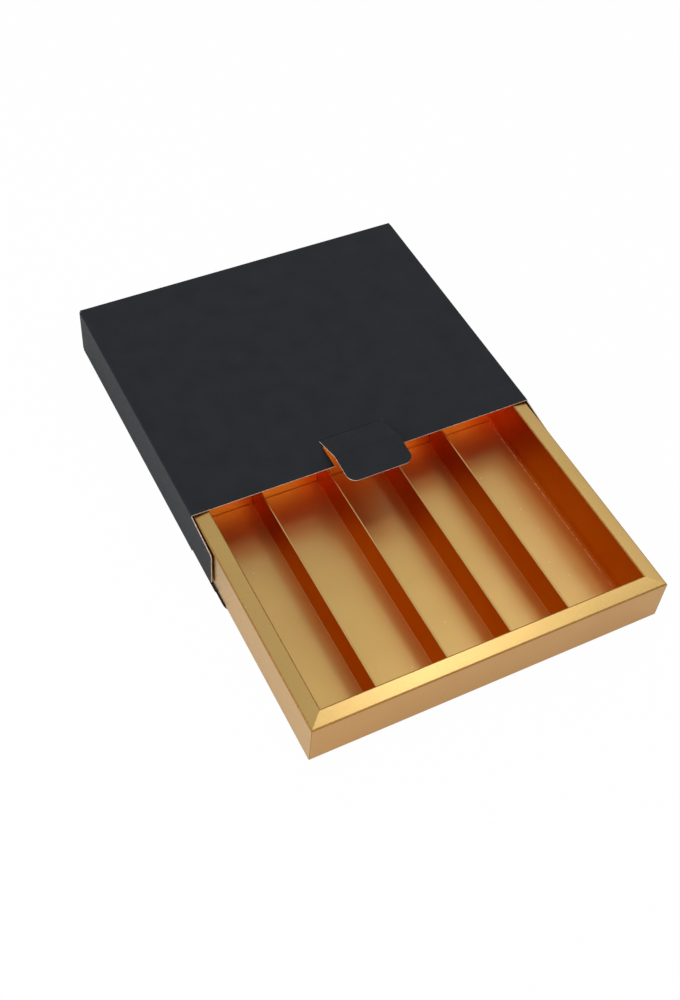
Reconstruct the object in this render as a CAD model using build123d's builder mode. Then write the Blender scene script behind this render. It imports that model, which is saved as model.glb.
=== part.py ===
"""Sliding drawer gift box: a paperboard sleeve with a lock tab, and a hollow-walled tray of five lanes.

Millimetres. The origin is the centre of the sleeve's underside, +Z is up, and the drawer opens
towards -Y. Every panel is modelled where it stands with the drawer pulled out and the tab lifted.
"""

import math
import os

from build123d import *

# ---- sleeve ---------------------------------------------------------------------------------
sleeve_width = 190.0
sleeve_depth = 153.5
sleeve_height = 28.0
sleeve_board = 0.5          # thickness of the sleeve's board
crease_radius = 0.6         # centre-line radius of a folded edge of the sleeve
glue_flap = 14.0            # strip folded up inside the left panel and glued to it
glue_line = 0.05
crease_gap = 0.1            # open slit at a panel's hinged edge

# ---- lock tab, cut from the front edge of the top panel ---------------------------------------
tab_width = 36.0
tab_base_length = 18.0      # slit length, from the hinge crease to the front edge
tab_tip_length = 17.0       # tongue beyond the tip crease
tab_corner = 5.0
slit_play = 0.15            # cut width beside the tab
tab_lift = 19.5             # degrees above the top panel
tab_droop = 4.5             # degrees that the tongue hangs below level

# ---- front end flaps --------------------------------------------------------------------------
dust_length = 23.4
dust_clear_low = 1.8        # from the sleeve's underside to the flap's lower edge
dust_clear_high = 1.0       # from the sleeve's top face to the flap's upper edge
dust_taper = 3.0            # fall of the upper edge along the flap
dust_corner_low = 2.5
dust_corner_high = 1.5
closing_side_inset = 0.4    # how far the closing flap stays inside the sleeve's sides
tuck_length = 14.0
tuck_side_inset = 0.3
tuck_corner = 6.0
lock_slot_height = 1.0
lock_slot_inset = 1.5       # from the tuck crease to the middle of the slot
lock_slot_play = 1.0        # slot length beyond the tab's width

# ---- rear end, folded in and glued --------------------------------------------------------------
rear_lead = 2.0             # stretch over which a rear flap carries on from its own panel
rear_flap_reach = 25.0
rear_flap_inset = 1.0       # from a rear side flap's upper and lower edge to the sleeve's faces
rear_seam_height = 14.0
rear_panel_inset = 0.6      # from the rear panel's cut edges to the sleeve's sides

# ---- tray -------------------------------------------------------------------------------------
tray_board = 0.5
rim_width = 8.2             # thickness of the hollow wall
rim_crease = 0.5            # centre-line radius of the wall's folded edges
base_crease = 0.4           # rounding of the tray's lower edges
side_play = 0.3             # each side, between the tray and what it slides past
floor_play = 0.2            # below the tray
top_play = 0.6              # above the tray's rim
end_play = 2.5              # behind the tray when it is shut
tray_hold = 22.6            # length of the pulled-out tray that stays in the sleeve

# ---- divider insert, one pleated sheet ----------------------------------------------------------
insert_board = 0.35
lane_widths = (29.5, 35.8, 33.1, 31.1)   # clear widths from the left wall; the fifth is what is left
insert_left_play = 0.2
insert_right_gap = 1.8      # bare strip of tray floor beside the right wall
insert_end_play = 0.3
divider_height = 18.8       # above the tray's floor
pleat_gap = 0.2             # between the two plies of a pleat
pleat_foot_radius = 0.4
pleat_top_radius = 0.25

# ---- worked out ---------------------------------------------------------------------------------
half_width = sleeve_width / 2
front = -sleeve_depth / 2
rear = sleeve_depth / 2
skin = sleeve_board / 2                       # from a panel's face to its centre line
hinge_room = skin + crease_gap                # from a crease to the edge of the panel behind it
top_z = sleeve_height - skin                  # centre line of the top panel
wall_x = half_width - skin                    # centre line of a side panel
fold_outside = crease_radius + skin           # outer radius of a folded edge

hinge_y = front + tab_base_length
tip_axis_y = hinge_y - tab_base_length * math.cos(math.radians(tab_lift))
tip_axis_z = top_z + tab_base_length * math.sin(math.radians(tab_lift))

closing_length = sleeve_height - sleeve_board
closing_width = sleeve_width - 2 * closing_side_inset

seam_room = sleeve_board + glue_line          # taken up on the left by the glue flap
tray_width = sleeve_width - 2 * sleeve_board - seam_room - 2 * side_play
tray_x = seam_room / 2
tray_depth = sleeve_depth - 2 * sleeve_board - end_play
tray_height = sleeve_height - 2 * sleeve_board - floor_play - top_play
tray_left = tray_x - tray_width / 2
tray_right = tray_x + tray_width / 2
tray_back = front + tray_hold
tray_front = tray_back - tray_depth
tray_low = sleeve_board + floor_play
tray_floor = tray_low + tray_board
wall_height = tray_height - tray_board

os.makedirs("parts", exist_ok=True)


def save(piece, name):
    """Labels a finished piece and writes it as parts/name.step."""
    piece.part.label = name
    export_step(piece.part, f"parts/{name}.step")
    print(f"{name:18s} {piece.part.volume:9.1f} mm3")


def folded_strip(points, radius, thickness):
    """Board seen edge on: a centre line through the points, its folds rounded, and its thickness."""
    with BuildLine() as centre:
        FilletPolyline(*points, radius=radius)
    trace(centre.line, line_width=thickness)


# ---- sleeve tube --------------------------------------------------------------------------------
# One wrap of board. It starts as the glue flap inside the left panel, runs along the bottom, up the
# right side, over the top and down the left side, whose cut edge ends level with the underside.
flap_x = -wall_x + sleeve_board + glue_line
wrap = [
    (flap_x, glue_flap),
    (flap_x, skin),
    (wall_x, skin),
    (wall_x, top_z),
    (-wall_x, top_z),
    (-wall_x, 0),
]
tube_back = rear - rear_lead
with BuildPart() as sleeve:
    with BuildSketch(Plane.XZ.offset(-tube_back)):
        folded_strip(wrap, crease_radius, sleeve_board)
    extrude(amount=tube_back - front)
    # The bottom and the sides stop short at the front, where their flaps are creased on.
    with BuildSketch(Plane.XZ.offset(-front - hinge_room)):
        with Locations((0, (sleeve_height - fold_outside) / 2)):
            Rectangle(sleeve_width, sleeve_height - fold_outside)
    extrude(amount=hinge_room, mode=Mode.SUBTRACT)
    # The window that the lock tab was cut from.
    with BuildSketch(Plane.XY.offset(sleeve_height)):
        with Locations((0, front)):
            Rectangle(tab_width + 2 * slit_play, 2 * (tab_base_length + hinge_room))
    extrude(amount=-2 * sleeve_board, mode=Mode.SUBTRACT)
save(sleeve, "sleeve")


# ---- rear end -----------------------------------------------------------------------------------
# The panel from the top is glued over three flaps: one from the bottom and one from each side.
outer_layer = rear - skin
inner_layer = outer_layer - sleeve_board
with BuildPart() as rear_panel:
    with BuildSketch(Plane.YZ):
        fold = [(tube_back, top_z), (outer_layer, top_z), (outer_layer, crease_gap)]
        folded_strip(fold, crease_radius, sleeve_board)
    extrude(amount=half_width - rear_panel_inset, both=True)
save(rear_panel, "rear_panel")

with BuildPart() as rear_seam_flap:
    with BuildSketch(Plane.YZ):
        fold = [(tube_back, skin), (inner_layer, skin), (inner_layer, rear_seam_height)]
        folded_strip(fold, crease_radius, sleeve_board)
    extrude(amount=half_width - rear_flap_reach - sleeve_board, both=True)
save(rear_seam_flap, "rear_seam_flap")

for side, name in ((-1, "rear_flap_left"), (1, "rear_flap_right")):
    edge_x = side * wall_x
    reach_x = side * (half_width - rear_flap_reach)
    with BuildPart() as rear_flap:
        with BuildSketch(Plane.XY.offset(rear_flap_inset)):
            fold = [(edge_x, tube_back), (edge_x, inner_layer), (reach_x, inner_layer)]
            folded_strip(fold, crease_radius, sleeve_board)
        extrude(amount=sleeve_height - 2 * rear_flap_inset)
    save(rear_flap, name)


# ---- panels on a crease ---------------------------------------------------------------------------
def crease_plane(y, z, degrees_up):
    """A plane on a crease across the box: local y runs forwards from the crease, local z is up."""
    tilt = math.radians(degrees_up)
    return Plane(origin=(0, y, z), x_dir=(-1, 0, 0), z_dir=(0, math.sin(tilt), math.cos(tilt)))


def crease_bead(plane, middle, length):
    """The rounded edge of a panel on its crease, along the plane's x."""
    with Locations(plane):
        with Locations((middle, 0, 0)):
            Cylinder(skin, length, rotation=(0, 90, 0))


with BuildPart() as tab_base:
    lifted = crease_plane(hinge_y, top_z, tab_lift)
    length = tab_base_length - hinge_room
    with BuildSketch(lifted.offset(-skin)):
        with Locations((0, length / 2)):
            Rectangle(tab_width, length)
    extrude(amount=sleeve_board)
    crease_bead(lifted, 0, tab_width)
save(tab_base, "tab_base")

with BuildPart() as tab_tip:
    drooping = crease_plane(tip_axis_y, tip_axis_z, -tab_droop)
    with BuildSketch(drooping.offset(-skin)) as tongue:
        with Locations((0, tab_tip_length / 2)):
            Rectangle(tab_width, tab_tip_length)
        fillet(tongue.vertices().group_by(Axis.Y)[-1], tab_corner)
    extrude(amount=sleeve_board)
    crease_bead(drooping, 0, tab_width)
save(tab_tip, "tab_tip")

with BuildPart() as closing_flap:
    flat = crease_plane(front, skin, 0)
    length = closing_length - hinge_room
    with BuildSketch(flat.offset(-skin)):
        with Locations((0, length / 2)):
            Rectangle(closing_width, length)
        with Locations((0, closing_length - lock_slot_inset)):
            Rectangle(tab_width + lock_slot_play, lock_slot_height, mode=Mode.SUBTRACT)
    extrude(amount=sleeve_board)
    crease_bead(flat, 0, closing_width)
save(closing_flap, "closing_flap")

with BuildPart() as tuck_lip:
    flat = crease_plane(front - closing_length, skin, 0)
    lip_width = closing_width - 2 * tuck_side_inset
    with BuildSketch(flat.offset(-skin)) as lip:
        with Locations((0, tuck_length / 2)):
            Rectangle(lip_width, tuck_length)
        fillet(lip.vertices().group_by(Axis.Y)[-1], tuck_corner)
    extrude(amount=sleeve_board)
    crease_bead(flat, 0, lip_width)
save(tuck_lip, "tuck_lip")

dust_low = dust_clear_low
dust_high = sleeve_height - dust_clear_high
dust_tip_high = dust_high - dust_taper
for side, name in ((-1, "dust_flap_left"), (1, "dust_flap_right")):
    # On this plane x is the height and y runs forwards from the crease.
    upright = Plane(origin=(side * wall_x, front, 0), x_dir=(0, 0, 1), z_dir=(1, 0, 0))
    low_tip = (dust_low, dust_length)
    high_tip = (dust_tip_high, dust_length)
    with BuildPart() as dust_flap:
        with BuildSketch(upright.offset(-skin)) as outline:
            with BuildLine():
                Polyline((dust_low, 0), low_tip, high_tip, (dust_high, 0), close=True)
            make_face()
            fillet(outline.vertices().sort_by_distance(low_tip)[0], dust_corner_low)
            fillet(outline.vertices().sort_by_distance(high_tip)[0], dust_corner_high)
        extrude(amount=sleeve_board)
        crease_bead(upright, (dust_low + dust_high) / 2, dust_high - dust_low)
    save(dust_flap, name)


# ---- tray -----------------------------------------------------------------------------------------
with BuildPart() as tray_base:
    with BuildSketch(Plane.XY.offset(tray_low)):
        with Locations((tray_x, (tray_front + tray_back) / 2)):
            Rectangle(tray_width, tray_depth)
    extrude(amount=tray_board)
    fillet(tray_base.faces().sort_by(Axis.Z)[0].edges(), base_crease)
save(tray_base, "tray_base")

# Each wall is the same folded channel: outer panel, rim and inner panel, open below and mitred at
# its ends. Walking round the tray with the inside on the left, a wall starts at its corner.
channel = [
    (tray_board / 2, 0),
    (tray_board / 2, wall_height - tray_board / 2),
    (rim_width - tray_board / 2, wall_height - tray_board / 2),
    (rim_width - tray_board / 2, 0),
]
walls = {
    "tray_front_wall": ((tray_left, tray_front), (0, 1, 0), (1, 0, 0), tray_width),
    "tray_right_wall": ((tray_right, tray_front), (-1, 0, 0), (0, 1, 0), tray_depth),
    "tray_back_wall": ((tray_right, tray_back), (0, -1, 0), (-1, 0, 0), tray_width),
    "tray_left_wall": ((tray_left, tray_back), (1, 0, 0), (0, -1, 0), tray_depth),
}
for name, (corner, inwards, along, length) in walls.items():
    start = Vector(*corner, tray_floor)
    inwards = Vector(*inwards)
    along = Vector(*along)
    with BuildPart() as wall:
        with BuildSketch(Plane(origin=start, x_dir=inwards, z_dir=along)):
            folded_strip(channel, rim_crease, tray_board)
        extrude(amount=length)
        split(bisect_by=Plane(origin=start, z_dir=along - inwards), keep=Keep.TOP)
        split(bisect_by=Plane(origin=start + along * length, z_dir=-along - inwards), keep=Keep.TOP)
    save(wall, name)


# ---- divider insert ---------------------------------------------------------------------------------
# One sheet: it lies on the tray's floor and rises in a two-ply pleat between each pair of lanes.
sheet_z = tray_floor + insert_board / 2
pleat_top_z = tray_floor + divider_height - insert_board / 2
ply_step = insert_board + pleat_gap
sheet_line = [(tray_left + rim_width + insert_left_play, sheet_z)]
pleat_face = tray_left + rim_width
for lane in lane_widths:
    pleat_face += lane
    first_ply = pleat_face + insert_board / 2
    second_ply = first_ply + ply_step
    sheet_line += [(first_ply, sheet_z), (first_ply, pleat_top_z)]
    sheet_line += [(second_ply, pleat_top_z), (second_ply, sheet_z)]
    pleat_face = second_ply + insert_board / 2
sheet_line.append((tray_right - rim_width - insert_right_gap, sheet_z))
fold_radii = [pleat_foot_radius, pleat_top_radius, pleat_top_radius, pleat_foot_radius] * len(lane_widths)

insert_back = tray_back - rim_width - insert_end_play
with BuildPart() as divider_insert:
    with BuildSketch(Plane.XZ.offset(-insert_back)):
        folded_strip(sheet_line, fold_radii, insert_board)
    extrude(amount=tray_depth - 2 * (rim_width + insert_end_play))
save(divider_insert, "divider_insert")
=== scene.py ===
import math

import bmesh
import bpy
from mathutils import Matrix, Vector


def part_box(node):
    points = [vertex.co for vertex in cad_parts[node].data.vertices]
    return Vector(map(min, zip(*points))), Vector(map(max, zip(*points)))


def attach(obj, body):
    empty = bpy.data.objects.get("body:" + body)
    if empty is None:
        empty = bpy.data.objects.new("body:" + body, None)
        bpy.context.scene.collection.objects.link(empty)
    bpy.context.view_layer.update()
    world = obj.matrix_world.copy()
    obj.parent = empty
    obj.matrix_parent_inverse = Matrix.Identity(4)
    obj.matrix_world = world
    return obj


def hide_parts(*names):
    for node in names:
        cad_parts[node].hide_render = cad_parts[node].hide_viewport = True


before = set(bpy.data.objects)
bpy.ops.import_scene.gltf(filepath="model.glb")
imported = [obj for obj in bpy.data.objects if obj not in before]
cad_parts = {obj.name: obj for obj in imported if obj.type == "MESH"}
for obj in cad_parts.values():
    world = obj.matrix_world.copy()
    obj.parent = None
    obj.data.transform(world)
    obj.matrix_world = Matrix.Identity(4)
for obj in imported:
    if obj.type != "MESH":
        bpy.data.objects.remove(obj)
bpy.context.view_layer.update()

# ---- camera --------------------------------------------------------------------------------------
# A 49 mm lens, held in front of the box and to its left, and looking down at about 51 degrees.
camera_place = (-0.2432, -0.4510, 0.5407)
camera_turn = (38.879, -3.737, -26.959)
bpy.ops.object.camera_add(location=camera_place, rotation=[math.radians(a) for a in camera_turn])
camera = bpy.context.object
camera.data.lens = 49.0
camera.data.sensor_width = 36.0
camera.data.clip_start = 0.01
bpy.context.scene.camera = camera
bpy.context.scene.view_settings.view_transform = "Standard"


# ---- studio --------------------------------------------------------------------------------------
# A white table in a pale room, with four softboxes. Two stand behind the box on the right: a small
# high one glints along the front rim, and a wider low one fills the right-hand lanes. One in front
# lights the mouth of the sleeve, and a broad one on the left fills the table beside the tray.
MM = 0.001


def linear(hex_colour):
    """An sRGB hex colour as the linear colour and alpha that a shader takes."""
    srgb = [int(hex_colour[i:i + 2], 16) / 255 for i in (0, 2, 4)]
    return [c / 12.92 if c <= 0.04045 else ((c + 0.055) / 1.055) ** 2.4 for c in srgb] + [1.0]


def empty_tree(owner):
    """The shader tree of a material or a world, cleared."""
    owner.use_nodes = True
    owner.node_tree.nodes.clear()
    return owner.node_tree


def add(tree, kind, inputs=None, **settings):
    """Adds a node with its settings. Each input is a value, or another node's output to link."""
    made = tree.nodes.new(kind)
    for name, value in settings.items():
        setattr(made, name, value)
    for name, value in (inputs or {}).items():
        if isinstance(value, bpy.types.NodeSocket):
            tree.links.new(value, made.inputs[name])
        else:
            made.inputs[name].default_value = value
    return made


# The table shows white to the lens and in part to the gold, and still takes the box's soft shadow.
white_to_lens, white_to_gloss = 0.98, 0.2
table_drop = 0.1            # below the box's underside, so that the two faces never fight
bpy.ops.mesh.primitive_plane_add(size=8.0, location=(0, 0, -table_drop * MM))
table = bpy.context.object
table.name = "studio_table"
paper = bpy.data.materials.new("white_table")
tree = empty_tree(paper)
path = add(tree, "ShaderNodeLightPath")
lens = add(tree, "ShaderNodeMath", {0: path.outputs["Is Camera Ray"], 1: white_to_lens},
           operation="MULTIPLY")
shine = add(tree, "ShaderNodeMath", {0: path.outputs["Is Glossy Ray"],
                                     1: path.outputs["Is Transmission Ray"]}, operation="MAXIMUM")
gloss = add(tree, "ShaderNodeMath", {0: shine.outputs[0], 1: white_to_gloss}, operation="MULTIPLY")
white = add(tree, "ShaderNodeMath", {0: lens.outputs[0], 1: gloss.outputs[0]}, operation="MAXIMUM")
matt = add(tree, "ShaderNodeBsdfDiffuse", {"Color": linear("d6d6d6")})
glow = add(tree, "ShaderNodeEmission", {"Color": linear("ffffff"), "Strength": 1.0})
mixed = add(tree, "ShaderNodeMixShader",
            {0: white.outputs[0], 1: matt.outputs[0], 2: glow.outputs[0]})
add(tree, "ShaderNodeOutputMaterial", {"Surface": mixed.outputs[0]})
table.data.materials.append(paper)

room_light = 0.63           # on the box; the lens sees the room at full white
world = bpy.data.worlds.new("white_room")
bpy.context.scene.world = world
tree = empty_tree(world)
path = add(tree, "ShaderNodeLightPath")
strength = add(tree, "ShaderNodeMapRange",
               {"Value": path.outputs["Is Camera Ray"], "To Min": room_light, "To Max": 1.0})
background = add(tree, "ShaderNodeBackground",
                 {"Color": linear("ffffff"), "Strength": strength.outputs[0]})
add(tree, "ShaderNodeOutputWorld", {"Surface": background.outputs[0]})


def softbox(name, azimuth, height, distance, size, power):
    """An area lamp that faces the box. Azimuth 0 is behind the box and 90 is on its right."""
    a, h = math.radians(azimuth), math.radians(height)
    away = Vector((math.sin(a) * math.cos(h), math.cos(a) * math.cos(h), math.sin(h)))
    aim = Vector((0, -0.12, 0))     # among the lanes
    turn = away.to_track_quat("Z", "Y").to_euler()
    bpy.ops.object.light_add(type="AREA", location=aim + away * distance, rotation=turn)
    lamp = bpy.context.object
    lamp.name = name
    lamp.data.size = size
    lamp.data.energy = power


softbox("high_softbox", azimuth=58, height=68, distance=1.3, size=0.24, power=0.72)
softbox("low_softbox", azimuth=60, height=51, distance=1.3, size=0.4, power=0.43)
softbox("front_softbox", azimuth=154, height=56, distance=1.3, size=0.7, power=1.5)
softbox("left_fill", azimuth=-110, height=19, distance=1.2, size=1.2, power=17.0)
# Light goes from gold to gold many times before it leaves the tray and the mouth of the sleeve.
bpy.context.scene.cycles.glossy_bounces = 12


# ---- sleeve --------------------------------------------------------------------------------------
# One wrap of black board, gold inside, folded on four creases and glued along a flap inside the
# left panel. A window is left in the front of the top panel where the lock tab was cut.
def board_finish(name, colours, grain, detail, depth, surface, stretch=(1, 1, 1), mottle=None,
                 waves=None, nicks=None, roughness=None):
    """One finish of the board, as a material. All sizes are in millimetres.

    grain, detail, depth and stretch give the fine relief. surface holds the shader's plain inputs,
    and roughness, where it isn't among them, runs from a low to a high value over the grain. The
    mottle, or else the grain, mixes the two colours. waves are the size and depth of a slow relief
    under the grain, and nicks the colour of the flecks that dot the film.
    """
    middle_low, middle_high = 0.3, 0.7      # the range that most of a noise lies in
    slow_detail = 2.0
    nick_spacing, nick_radius = 8.0, 0.25
    material = bpy.data.materials.new(name)
    tree = empty_tree(material)
    place = add(tree, "ShaderNodeTexCoord").outputs["Object"]

    layers = {"grain": (grain, detail, stretch)}
    if mottle:
        layers["mottle"] = (mottle, slow_detail, (1, 1, 1))
    if waves:
        wave_size, wave_depth = waves
        layers["waves"] = (wave_size, slow_detail, (1, 1, 1))
    patterns = {}
    for layer, (size, fineness, drawn_out) in layers.items():
        mapped = add(tree, "ShaderNodeMapping", {"Vector": place, "Scale": drawn_out})
        noise = add(tree, "ShaderNodeTexNoise", {"Vector": mapped.outputs[0],
                                                 "Scale": 1 / (size * MM), "Detail": fineness})
        patterns[layer] = noise.outputs["Fac"]

    share = add(tree, "ShaderNodeMapRange",
                {"Value": patterns.get("mottle", patterns["grain"]), "From Min": middle_low,
                 "From Max": middle_high, "To Min": 0.0, "To Max": 1.0})
    colour = add(tree, "ShaderNodeMix", {"Factor": share.outputs[0], "A": linear(colours[0]),
                                         "B": linear(colours[1])}, data_type="RGBA")
    if nicks:
        cells = add(tree, "ShaderNodeTexVoronoi",
                    {"Vector": place, "Scale": 1 / (nick_spacing * MM)})
        nick = add(tree, "ShaderNodeMath", {0: cells.outputs["Distance"],
                                            1: nick_radius / nick_spacing}, operation="LESS_THAN")
        colour = add(tree, "ShaderNodeMix",
                     {"Factor": nick.outputs[0], "A": colour.outputs["Result"],
                      "B": linear(nicks)}, data_type="RGBA")

    relief = {"Height": patterns["grain"], "Distance": depth * MM}
    if waves:
        slow = add(tree, "ShaderNodeBump",
                   {"Height": patterns["waves"], "Distance": wave_depth * MM})
        relief["Normal"] = slow.outputs[0]
    raised = add(tree, "ShaderNodeBump", relief)
    inputs = {"Base Color": colour.outputs["Result"], "Normal": raised.outputs[0], **surface}
    if roughness:
        spread = add(tree, "ShaderNodeMapRange",
                     {"Value": patterns["grain"], "From Min": middle_low, "From Max": middle_high,
                      "To Min": roughness[0], "To Max": roughness[1]})
        inputs["Roughness"] = spread.outputs[0]
    shader = add(tree, "ShaderNodeBsdfPrincipled", inputs)
    add(tree, "ShaderNodeOutputMaterial", {"Surface": shader.outputs[0]})
    return material


# Matt black laminated board: black-dyed film over the fibres gives a soft even grey sheen, and the
# fibres show only as a faint mottle. Fibres are 0.1 mm wide, drawn at 0.6 mm so that they show.
black_board = board_finish(
    "matt_black_laminated_board", ("191c20", "1e2125"), grain=0.6, detail=4.0, depth=0.012,
    stretch=(1.0, 0.35, 1.0), mottle=14.0, waves=(35.0, 0.05), roughness=(0.50, 0.62),
    surface={"Specular IOR Level": 0.17})

# Gold lining film on the back of the black board, painted a bright warm orange: painted reflection
# of gold in gold, for the light in the mouth of the sleeve, which only comes off other gold.
mouth_gold_painted_reflection = board_finish(
    "gold_lining_painted_reflection", ("fe9c3c", "ffa446"), grain=0.5, detail=3.0, depth=0.004, mottle=22.0,
    roughness=(0.30, 0.38), surface={"Metallic": 1.0})

# Cut edge of the board: pressed wood pulp, pinkish grey, rough from the cutting rule.
cut_edge = board_finish(
    "cut_pulp_edge", ("8c7c6e", "dfcbb4"), grain=0.7, detail=4.0, depth=0.05,
    surface={"Roughness": 0.85, "Specular IOR Level": 0.3})


def corners(node):
    """The lowest and highest corner of a CAD node, in millimetres."""
    return [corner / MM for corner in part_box(node)]


def start_sheet(name, centre, size, turn=(0, 0, 0)):
    """A flat sheet in edit mode, in millimetres and degrees, with its place in its mesh."""
    bpy.ops.object.select_all(action="DESELECT")
    bpy.ops.mesh.primitive_plane_add(size=1, location=Vector(centre) * MM,
                                     rotation=[math.radians(a) for a in turn])
    piece = bpy.context.object
    piece.name = piece.data.name = name
    piece.scale = (size[0] * MM, size[1] * MM, 1)
    bpy.ops.object.transform_apply(location=True, rotation=True, scale=True)
    bpy.ops.object.mode_set(mode="EDIT")
    return piece


def pick(kind, test=None, facing=None):
    """Selects only the parts whose middle, in millimetres, and whose normal pass their tests."""
    bpy.ops.mesh.select_mode(type=kind)
    bpy.ops.mesh.select_all(action="DESELECT")
    mesh = bmesh.from_edit_mesh(bpy.context.object.data)
    parts = {"VERT": mesh.verts, "EDGE": mesh.edges, "FACE": mesh.faces}[kind]
    for part in parts:
        points = [part] if kind == "VERT" else part.verts
        middle = sum((point.co for point in points), Vector()) / len(points) / MM
        if (test is None or test(middle)) and (facing is None or facing(part.normal)):
            part.select_set(True)
    mesh.select_flush_mode()
    bmesh.update_edit_mesh(bpy.context.object.data)


def near(value, target):
    """Whether a measure is within a hundredth of a millimetre of another."""
    return abs(value - target) < 0.01


def draw_out(x, y, z):
    """Extrudes the selected edge, and leaves the new edge selected."""
    bpy.ops.mesh.extrude_region_move(TRANSFORM_OT_translate={"value": Vector((x, y, z)) * MM})


def move(x, y, z):
    bpy.ops.transform.translate(value=Vector((x, y, z)) * MM)


def score(point, normal):
    """Cuts across the selected faces."""
    bpy.ops.mesh.bisect(plane_co=Vector(point) * MM, plane_no=normal)


def score_both_sides(reach, test=None):
    """Cuts the faces that pass the test, as far to the left of the middle as to the right."""
    for end in (-1, 1):
        pick("FACE", test)
        score((end * reach, 0, 0), (1, 0, 0))


def fold(radius, segments=4, material=-1):
    """Rounds the selected edges, or creases, to a radius."""
    bpy.ops.mesh.bevel(offset=radius * MM, segments=segments, affect="EDGES", material=material)


def thicken(piece, thickness, offset):
    """Gives a sheet its board's thickness, with the outer, inner and cut-edge finish."""
    board = piece.modifiers.new("board", "SOLIDIFY")
    board.thickness = thickness * MM
    board.offset = offset
    board.use_even_offset = True
    board.material_offset = 1
    board.material_offset_rim = 2
    bpy.ops.object.modifier_apply(modifier=board.name)


def coat(finish, test=None, facing=None):
    """Gives the picked faces another of the piece's finishes, and leaves edit mode."""
    piece = bpy.context.object
    bpy.ops.object.mode_set(mode="EDIT")
    pick("FACE", test, facing)
    piece.active_material_index = list(piece.data.materials).index(finish)
    bpy.ops.object.material_slot_assign()
    bpy.ops.object.mode_set(mode="OBJECT")


def finish_piece(piece, body, node):
    """Smooths the folds, keeps the panels flat, and says what the piece rides on and replaces."""
    sharpest_smooth = 35    # degrees between two faces of a fold
    bpy.ops.object.shade_smooth_by_angle(angle=math.radians(sharpest_smooth))
    flat = piece.modifiers.new("flat_panels", "WEIGHTED_NORMAL")
    flat.keep_sharp = True
    flat.weight = 100
    bpy.ops.object.modifier_apply(modifier=flat.name)
    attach(piece, body)
    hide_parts(node)


def finish_board(piece, thickness, offset, faces, body, node, coats=()):
    """Makes a sheet a board with its outer, inner and cut-edge finish, and places it on a body.

    Each of the coats is a finish and the test of the faces that it covers. A thin face at a crease
    isn't cut, because the board carries on there into the next panel, so it gets a film too.
    """
    bpy.ops.object.mode_set(mode="OBJECT")
    for finish in faces:
        piece.data.materials.append(finish)
    thicken(piece, thickness, offset)
    for chosen in coats:
        coat(*chosen)
    finish_piece(piece, body, node)


# The inner face of the sleeve, the tab and the back panel gets the painted orange reflection.
sleeve_faces = (black_board, mouth_gold_painted_reflection, cut_edge)
sleeve_board = 0.5
fold_outside = 0.85         # outer radius of a folded edge
hinge_room = 0.35           # from a crease to the edge of the panel behind it
at_crease = 1.0             # a face whose middle is this close to a crease lies in it
sleeve_low, sleeve_high = corners("sleeve")
front, back = sleeve_low.y, sleeve_high.y
side, top = sleeve_high.x, sleeve_high.z
middle_y = (front + back) / 2
glue_flap, glue_line = 14.0, 0.05
glue_flap_x = -side + sleeve_board + glue_line
tab_length, tab_width, slit_play = 18.0, 36.0, 0.15
window_side = tab_width / 2 + slit_play
window_back = front + tab_length + hinge_room

sleeve = start_sheet("sleeve_wrap", ((glue_flap_x + side) / 2, middle_y, 0),
                     (side - glue_flap_x, back - front), turn=(180, 0, 0))
pick("EDGE", lambda p: near(p.x, side))
draw_out(0, 0, top)
draw_out(-2 * side, 0, 0)
draw_out(0, 0, -top)
pick("EDGE", lambda p: near(p.x, glue_flap_x))
draw_out(0, 0, glue_flap)
pick("EDGE", lambda p: near(p.y, middle_y) and (near(p.x, glue_flap_x) or near(abs(p.x), side))
     and (near(p.z, top) or (near(p.z, 0) and p.x > glue_flap_x - glue_line)))
fold(fold_outside)
score_both_sides(window_side, lambda p: near(p.z, top))
pick("FACE", lambda p: near(p.z, top))
score((0, window_back, 0), (0, 1, 0))
pick("FACE", lambda p: near(p.z, top) and abs(p.x) < window_side and p.y < window_back)
bpy.ops.mesh.delete(type="FACE")

# The bottom and side panels run back a little to the creases of the end flaps.
under_fold = top - 2 * fold_outside      # well below the folds beside the top panel
pick("VERT", lambda p: near(p.y, front) and p.z < under_fold)
move(0, hinge_room, 0)
finish_board(sleeve, sleeve_board, -1, sleeve_faces, "sleeve", "sleeve", coats=[
    (black_board, lambda p: p.y < front + at_crease and p.z < under_fold),
    (black_board, lambda p: near(p.y, window_back))])


# ---- back end ------------------------------------------------------------------------------------
# The top panel carries on over the back edge and down, glued over three short flaps that the
# panels at the bottom and sides fold in. The flaps show only at the corners.
def recoat(node, finish):
    """Gives a CAD node the finish of the board that it is part of."""
    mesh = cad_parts[node].data
    mesh.materials.clear()
    mesh.materials.append(finish)


panel_low, panel_high = corners("rear_panel")
back_panel = start_sheet("back_panel", (0, (panel_low.y + panel_high.y) / 2, top),
                         (panel_high.x - panel_low.x, panel_high.y - panel_low.y))
pick("EDGE", lambda p: near(p.y, panel_high.y))
draw_out(0, 0, panel_low.z - top)
pick("EDGE", lambda p: near(p.y, panel_high.y) and near(p.z, top))
fold(fold_outside)
finish_board(back_panel, sleeve_board, -1, sleeve_faces, "sleeve", "rear_panel")
for flap_node in ("rear_seam_flap", "rear_flap_left", "rear_flap_right"):
    recoat(flap_node, black_board)


# ---- lock tab ------------------------------------------------------------------------------------
# Cut from the top panel with two slits and creased twice: once where it leaves the panel, and once
# where its tongue folds down to enter the slot of the closing flap. Here it springs up.
def tip_up(degrees, y, z):
    """Turns all of the sheet about a crease that runs across the box, front edge upwards."""
    bpy.ops.mesh.select_all(action="SELECT")
    bpy.ops.transform.rotate(value=math.radians(degrees), orient_axis="X",
                             center_override=(0, y * MM, z * MM))


def round_corner(test, radius):
    pick("VERT", test)
    bpy.ops.mesh.bevel(offset=radius * MM, offset_type="OFFSET", segments=8, affect="VERTICES")


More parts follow.
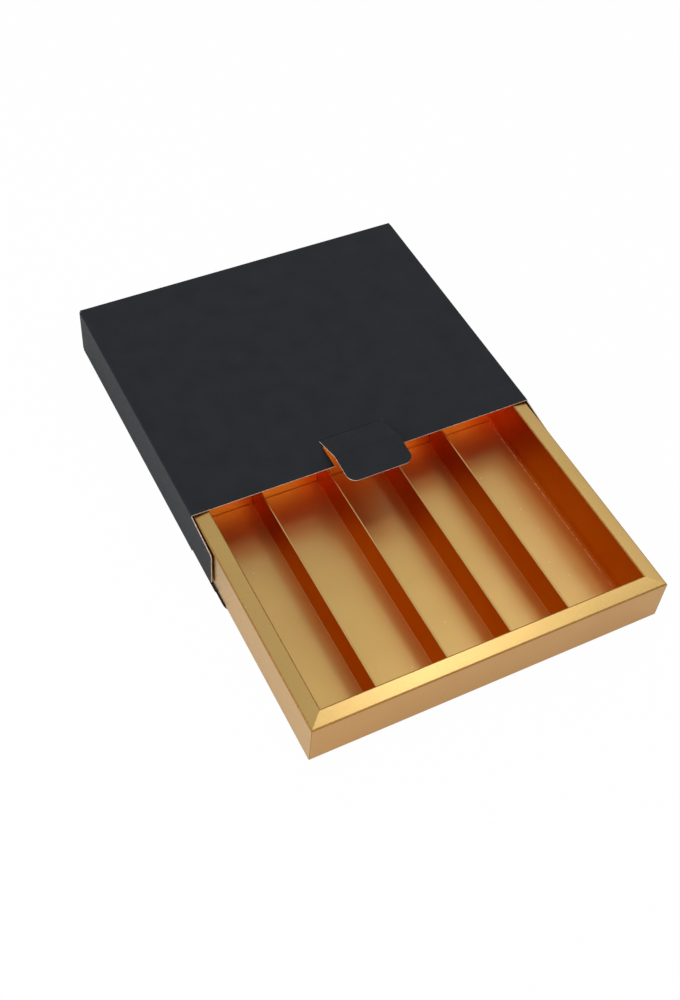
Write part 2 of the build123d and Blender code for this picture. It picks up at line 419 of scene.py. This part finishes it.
skin = sleeve_board / 2     # from a panel's face to its centre line, where its crease lies
tab_lift, tab_droop = 19.5, 4.5
tongue_length, tongue_corner = 17.0, 5.0
hinge_y, hinge_z = front + tab_length, top - skin
tip_y = hinge_y - tab_length * math.cos(math.radians(tab_lift))
tip_z = hinge_z + tab_length * math.sin(math.radians(tab_lift))

tab_reach = tab_length - hinge_room
tab = start_sheet("lock_tab", (0, hinge_y + (skin - tab_reach) / 2, hinge_z),
                  (tab_width, tab_reach + skin))
tip_up(tab_lift, hinge_y, hinge_z)
finish_board(tab, sleeve_board, 0, sleeve_faces, "tab_base", "tab_base", coats=[
    (black_board, lambda p: p.y > hinge_y - at_crease or p.y < tip_y + at_crease)])

tongue = start_sheet("lock_tongue", (0, tip_y + (skin - tongue_length) / 2, tip_z),
                     (tab_width, tongue_length + skin))
round_corner(lambda p: near(p.y, tip_y - tongue_length), tongue_corner)
tip_up(-tab_droop, tip_y, tip_z)
finish_board(tongue, sleeve_board, 0, sleeve_faces, "tab_tip", "tab_tip", coats=[
    (black_board, lambda p: p.y > tip_y - at_crease)])


# ---- dust flaps ----------------------------------------------------------------------------------
# One at the front of each side panel. They stand forwards beside the tray, and their upper edge
# falls away so that they tuck in easily. Their gold back is seen in the open, so it looks as pale
# as the tray.

# Metallised gold board: a film of aluminium under yellow lacquer. It mirrors softly, and each
# reflection of gold in gold deepens it from yellow to orange and red. The board's grain shows
# through at half a millimetre, and flecks of that size mark where the film is nicked.
gold_colours = ("cda862", "d1ac66")
lacquered = {
    "grain": 0.5, "detail": 3.0, "depth": 0.002, "mottle": 22.0, "waves": (28.0, 0.08),
    "nicks": "f3e6cc",
    "surface": {"Metallic": 1.0, "Specular Tint": linear("fff2e6"), "Coat Weight": 0.5,
                "Coat Roughness": 0.2},
}
gold_board = board_finish("metallised_gold_board", gold_colours, roughness=(0.27, 0.31),
                          **lacquered)

# Creased gold: the film stretches and crazes over a fold, so a fold is paler and duller. Crazing is
# finer than 0.5 mm, and is drawn at 1.6 mm so that it shows.
gold_crease = board_finish(
    "creased_gold_film", ("b8642e", "f8d9b4"), grain=1.6, detail=5.0, depth=0.03,
    surface={"Metallic": 0.65, "Roughness": 0.42})

flap_faces = (black_board, gold_board, cut_edge)
frayed_flap_faces = (*flap_faces, gold_crease)
flap_taper, low_corner, high_corner = 3.0, 2.5, 1.5
near_corner = 1.0           # a point this close to a flap's lower or upper corner is that corner
# Along its edges a strip of a flap's inner face is painted black: painted shade where the flap lies
# beside or under the tray. On the left dust flap the strip is crazed gold instead, where the
# cutting rule has worn the film.
painted_shade_and_wear_strip = 1.2
for side_sign, name, body, faces, strip_wear_and_painted_shade in (
    (-1, "left_dust_flap", "dust_flap_left", frayed_flap_faces, gold_crease),
    (1, "right_dust_flap", "dust_flap_right", flap_faces, black_board),
):
    low, high = corners(body)
    flap = start_sheet(name,
                       (side_sign * (side - skin), (low.y + high.y) / 2, (low.z + high.z) / 2),
                       (high.z - low.z, high.y - low.y), turn=(0, side_sign * 90, 0))
    pick("VERT", lambda p: near(p.y, low.y) and near(p.z, high.z))
    move(0, 0, -flap_taper)
    round_corner(lambda p: near(p.y, low.y) and p.z < low.z + near_corner, low_corner)
    round_corner(lambda p: near(p.y, low.y) and p.z > high.z - flap_taper - near_corner,
                 high_corner)
    slope = math.atan2(flap_taper, high.y - low.y)
    edge_normal = Vector((0, -math.sin(slope), math.cos(slope)))
    strip_foot = Vector((0, high.y, high.z)) - edge_normal * painted_shade_and_wear_strip
    pick("FACE")
    score(strip_foot, edge_normal)
    finish_board(flap, sleeve_board, 0, faces, body, body, coats=[
        (black_board, lambda p: near(p.y, high.y))])
    coat(strip_wear_and_painted_shade, lambda p: near(abs(p.x), side - sleeve_board)
         and (p - strip_foot).dot(edge_normal) > 0)


# ---- closing flap --------------------------------------------------------------------------------
# The front end of the box. It lies open under the tray, with the slot that the tongue enters, and
# ends in a tuck with rounded corners.
flap_low, flap_high = corners("closing_flap")
slot_play, slot_height = 1.0, 1.0
slot_side = (tab_width + slot_play) / 2
slot_middle = front - 26.0
beyond_slot = 0.4           # reaches the middle of the band between the slot and the tuck's crease
closing = start_sheet("closing_flap_board", (0, (flap_low.y + flap_high.y) / 2, skin),
                      (flap_high.x - flap_low.x, flap_high.y - flap_low.y), turn=(180, 0, 0))
score_both_sides(slot_side)
for slot_edge in (slot_middle - slot_height / 2, slot_middle + slot_height / 2):
    pick("FACE")
    score((0, slot_edge, 0), (0, 1, 0))
pick("FACE", lambda p: abs(p.x) < slot_side and abs(p.y - slot_middle) < slot_height / 2)
bpy.ops.mesh.delete(type="FACE")
# The sides of the flap are painted black: painted shade under the tray.
score_both_sides(flap_high.x - painted_shade_and_wear_strip)
finish_board(closing, sleeve_board, 0, flap_faces, "closing_flap", "closing_flap",
             coats=[(black_board, lambda p: near(p.y, flap_high.y)),
                    (black_board, lambda p: p.y < flap_low.y + beyond_slot),
                    (black_board, lambda p: abs(p.x) > flap_high.x - painted_shade_and_wear_strip)])

tuck_corner = 6.0
turning_room = 0.02         # lets the tuck's square corners pass the flap's edge as it turns
lip_low, lip_high = corners("tuck_lip")
lip_back = lip_high.y - turning_room
lip = start_sheet("tuck_lip_board", (0, (lip_low.y + lip_back) / 2, skin),
                  (lip_high.x - lip_low.x, lip_back - lip_low.y), turn=(180, 0, 0))
round_corner(lambda p: near(p.y, lip_low.y), tuck_corner)
# Its sides too are painted black: painted shade under the tray.
score_both_sides(lip_high.x - painted_shade_and_wear_strip)
finish_board(lip, sleeve_board, 0, flap_faces, "tuck_lip", "tuck_lip", coats=[
    (black_board, lambda p: near(p.y, lip_back) or abs(p.x) > lip_high.x - painted_shade_and_wear_strip)])


# ---- tray ----------------------------------------------------------------------------------------
# Gold board. The floor is one panel, and each wall is folded up, over and down again into a hollow
# wall with a flat rim. The rims meet in mitres, and lean outwards a little as the folds spring.

# The same lacquered board, painted a shade warmer on the front panel's outer face: painted warm
# reflection of the floor in front of the box.
front_gold_painted_reflection = board_finish("front_gold_painted_reflection_board", ("cd9c55", "d1a059"), roughness=(0.29, 0.33),
                          **lacquered)

# The film where it stands upright inside the box, painted a deeper orange: painted reflection of
# the gold walls that these faces mirror.
deep_gold_painted_reflection = board_finish(
    "deep_gold_painted_reflection_board", ("d4691c", "d87224"), grain=0.5, detail=3.0, depth=0.004, mottle=22.0,
    roughness=(0.28, 0.33), surface={"Metallic": 1.0, "Specular Tint": linear("eebc90")})

# A darker gold: painted shade along the rim folds, and the pressed joint at the corners of the
# front and back walls.
painted_fold_shade_and_joint_gold = board_finish(
    "painted_fold_shade_and_joint_gold_film", ("9c7038", "b98a4c"), grain=0.8, detail=4.0, depth=0.006,
    surface={"Metallic": 0.9, "Roughness": 0.4})

tray_faces = (gold_board, gold_board, cut_edge, front_gold_painted_reflection, deep_gold_painted_reflection, mouth_gold_painted_reflection, painted_fold_shade_and_joint_gold)
tray_board, rim_width, rim_fold = 0.5, 8.2, 0.7
rim_lean = 0.8              # fall of the rim from its inner to its outer fold
cut_margin = 0.35           # strip beside a cut edge where the film is pressed down
deep_margin = 0.1           # how far the painted deeper orange of an inner panel reaches into its fold
base_low, base_high = corners("tray_base")
wall_foot = base_high.z
wall_top = corners("tray_front_wall")[1].z
wall_height = wall_top - wall_foot
tray_middle = (base_low + base_high) / 2
half_x, half_y = (base_high.x - base_low.x) / 2, (base_high.y - base_low.y) / 2
recoat("tray_base", gold_board)

# The folded channel is made once, along X at the origin with its outside towards -Y.
outer_height = wall_height - rim_lean
spare_length = 1.0          # cut off again by the mitres
channel = start_sheet("wall_channel", (0, 0, wall_foot + outer_height / 2),
                      (2 * half_x + spare_length, outer_height), turn=(90, 0, 0))
pick("EDGE", lambda p: near(p.z, wall_foot + outer_height))
draw_out(0, rim_width, rim_lean)
draw_out(0, 0, -wall_height)
pick("EDGE", lambda p: near(p.x, 0) and p.z > wall_foot + wall_height / 2)
for material in tray_faces:
    channel.data.materials.append(material)
# The rim folds get the darker gold: painted shade.
fold(rim_fold, material=tray_faces.index(painted_fold_shade_and_joint_gold))
bpy.ops.object.mode_set(mode="OBJECT")

for name, node, degrees, away, half_length in (
    ("front_wall", "tray_front_wall", 0, half_y, half_x),
    ("right_wall", "tray_right_wall", 90, half_x, half_y),
    ("back_wall", "tray_back_wall", 180, half_y, half_x),
    ("left_wall", "tray_left_wall", 270, half_x, half_y),
):
    bpy.ops.object.select_all(action="DESELECT")
    channel.select_set(True)
    bpy.context.view_layer.objects.active = channel
    bpy.ops.object.duplicate()
    wall = bpy.context.object
    wall.name = wall.data.name = name
    thicken(wall, tray_board, -1)
    bpy.ops.object.mode_set(mode="EDIT")
    for end in (-1, 1):
        bpy.ops.mesh.select_all(action="SELECT")
        bpy.ops.mesh.bisect(plane_co=(end * half_length * MM, 0, 0), plane_no=(end, 1, 0),
                            clear_outer=True, use_fill=True)
    # The front panel's outer face gets the painted warm reflection.
    if name == "front_wall":
        coat(front_gold_painted_reflection, lambda p: near(p.y, 0))
    if name in ("front_wall", "back_wall"):
        # The panels of the front and back walls end at the corners in a pressed, darker line.
        bpy.ops.object.mode_set(mode="EDIT")
        score_both_sides(half_length - cut_margin, lambda p: near(p.y, 0))
        coat(painted_fold_shade_and_joint_gold, lambda p: near(p.y, 0) and abs(p.x) > half_length - cut_margin)
    # Inner faces get painted reflection: mouth orange on the back wall, deeper orange on the rest.
    coat(mouth_gold_painted_reflection if name == "back_wall" else deep_gold_painted_reflection, lambda p: p.y > rim_width - deep_margin)
    outwards = Vector((math.sin(math.radians(degrees)), -math.cos(math.radians(degrees)), 0))
    wall.rotation_euler.z = math.radians(degrees)
    wall.location = (Vector((tray_middle.x, tray_middle.y, 0)) + outwards * away) * MM
    bpy.ops.object.transform_apply(location=True, rotation=True, scale=True)
    finish_piece(wall, "tray", node)
bpy.data.objects.remove(channel)


# ---- divider insert ------------------------------------------------------------------------------
# One sheet of thinner gold board. It lies on the floor of the tray and is pleated up between each
# pair of lanes, so a divider is two plies with a fold along its top.

# The sheet has a satin lacquer, so it blurs what it mirrors.
satin_gold = board_finish("satin_gold_board", gold_colours, roughness=(0.37, 0.42), **lacquered)
insert_faces = (satin_gold, satin_gold, cut_edge, gold_crease, deep_gold_painted_reflection)
insert_board = 0.35
pleat_width = 0.9           # over both plies
foot_fold, crest_fold = 0.22, 0.42
worn_edge = 0.45            # strip of crazed film along the sheet's cut edge
first_lane, *other_lanes = 29.5, 35.8, 33.1, 31.1       # the last lane is what is left
insert_low, insert_high = corners("divider_insert")
first_face = base_low.x + rim_width + first_lane
last_face = first_face + sum(other_lanes) + len(other_lanes) * pleat_width
last_lane = insert_high.x - last_face - pleat_width
lane_floor = insert_low.z + insert_board
pleat_height = insert_high.z - lane_floor
along = (insert_low.y + insert_high.y) / 2
insert = start_sheet("pleated_insert", ((insert_low.x + first_face) / 2, along, lane_floor),
                     (first_face - insert_low.x, insert_high.y - insert_low.y))
pick("EDGE", lambda p: near(p.x, first_face))
for lane in (*other_lanes, last_lane):
    draw_out(0, 0, pleat_height)
    draw_out(pleat_width, 0, 0)
    draw_out(0, 0, -pleat_height)
    draw_out(lane, 0, 0)
pick("EDGE", lambda p: near(p.y, along) and near(p.z, lane_floor)
     and not near(p.x, insert_low.x) and not near(p.x, insert_high.x))
fold(foot_fold, 2)
pick("EDGE", lambda p: near(p.y, along) and near(p.z, insert_high.z))
fold(crest_fold, 3)
pick("FACE", lambda p: near(p.z, lane_floor) and p.x > last_face)
score((insert_high.x - worn_edge, 0, 0), (1, 0, 0))
# The upright faces of the pleats get the painted deeper orange: painted reflection of each divider.
finish_board(insert, insert_board, -1, insert_faces, "tray", "divider_insert", coats=[
    (gold_crease, lambda p: near(p.z, lane_floor) and p.x > insert_high.x - worn_edge),
    (deep_gold_painted_reflection, None, lambda n: abs(n.x) > 0.9)])
